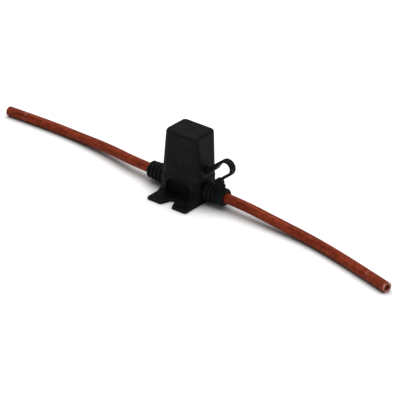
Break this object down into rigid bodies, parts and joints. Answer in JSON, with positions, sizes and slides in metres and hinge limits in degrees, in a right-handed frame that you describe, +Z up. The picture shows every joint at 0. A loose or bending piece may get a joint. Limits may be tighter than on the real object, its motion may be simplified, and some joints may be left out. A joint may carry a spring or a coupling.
{
  "type": "inline fuse holder",
  "caption": "Inline blade fuse holder: soft moulded body with ribbed boots, a tethered push-on cap, a notched screw flange and free red leads with cut ends.",
  "frame": {"origin": "on the mounting surface, under the middle of the tower", "axes": "+X along the leads towards the tethered side, -Y towards the flange, +Z up out of the mounting surface"},
  "size_m": [0.3193, 0.036, 0.0457],
  "materials": {
    "holder_rubber": "matt moulded",
    "cap_rubber": "satin moulded",
    "lead_jacket": "satin extruded",
    "strand_copper": "bare drawn strands",
    "terminal_brass": "stamped sheet",
    "fuse_plastic": "translucent moulded",
    "fuse_metal": "stamped strip"
  },
  "bodies": {
    "holder": {"holder_body": "holder_rubber", "tether_strap": "cap_rubber", "fuse_housing": "fuse_plastic", "fuse_element": "fuse_metal", "terminal_left": "terminal_brass", "terminal_right": "terminal_brass", "left_lead_insulation": "lead_jacket", "right_lead_insulation": "lead_jacket", "left_lead_conductor": "strand_copper", "right_lead_conductor": "strand_copper"},
    "cap": {"cap": "cap_rubber"},
    "left_slug": {"left_insulation_slug": "lead_jacket"},
    "right_slug": {"right_insulation_slug": "lead_jacket"}
  },
  "joints": [
    {"name": "cap_lift", "type": "slide", "parent": "holder", "child": "cap", "axis": [0, 0, 1], "range_m": [0, 0.03], "deforming": ["tether_strap"]},
    {"name": "slug_left_pull", "type": "slide", "parent": "holder", "child": "left_slug", "axis": [-0.9985, -0.0551, 0], "range_m": [0, 0.014]},
    {"name": "slug_right_pull", "type": "slide", "parent": "holder", "child": "right_slug", "axis": [0.9603, -0.2791, 0], "range_m": [0, 0.014]}
  ]
}
